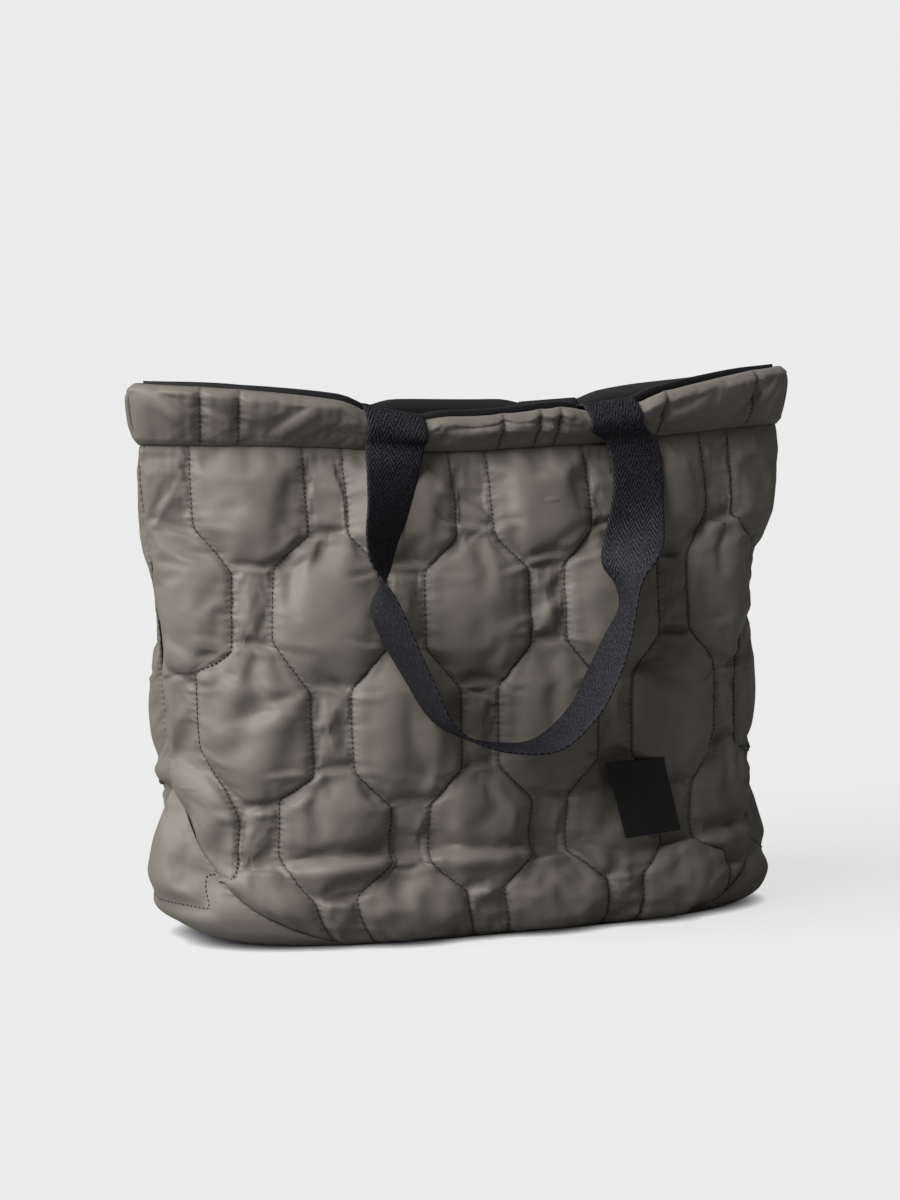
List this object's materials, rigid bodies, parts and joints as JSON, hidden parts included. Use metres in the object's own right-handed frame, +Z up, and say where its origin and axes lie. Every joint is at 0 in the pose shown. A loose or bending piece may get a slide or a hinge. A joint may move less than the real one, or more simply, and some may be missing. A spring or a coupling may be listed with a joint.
{
  "type": "quilted tote bag",
  "caption": "Soft quilted tote bag, open at the top, with a stuffed rim band, a padded flat base with upturned pointed ends and webbing handles hanging down.",
  "frame": {"origin": "on the ground under the middle of the bag's bounding box", "axes": "+Z up, +X along the width to the viewer's right as one faces the front, the front faces -Y"},
  "size_m": [0.4526, 0.265, 0.348],
  "materials": {
    "shell": "taupe padded nylon, satin, quilted with stitched zigzag lines",
    "lining": "matt black lining cloth",
    "webbing": "charcoal herringbone webbing, dull sheen",
    "label": "bare black woven patch, matt"
  },
  "bodies": {
    "root": {"front_panel": "shell", "back_panel": "shell", "base_panel": "shell", "front_band": "shell", "back_band": "shell", "lining": "lining", "front_handle": "webbing", "back_handle": "webbing", "label": "label"}
  },
  "joints": []
}
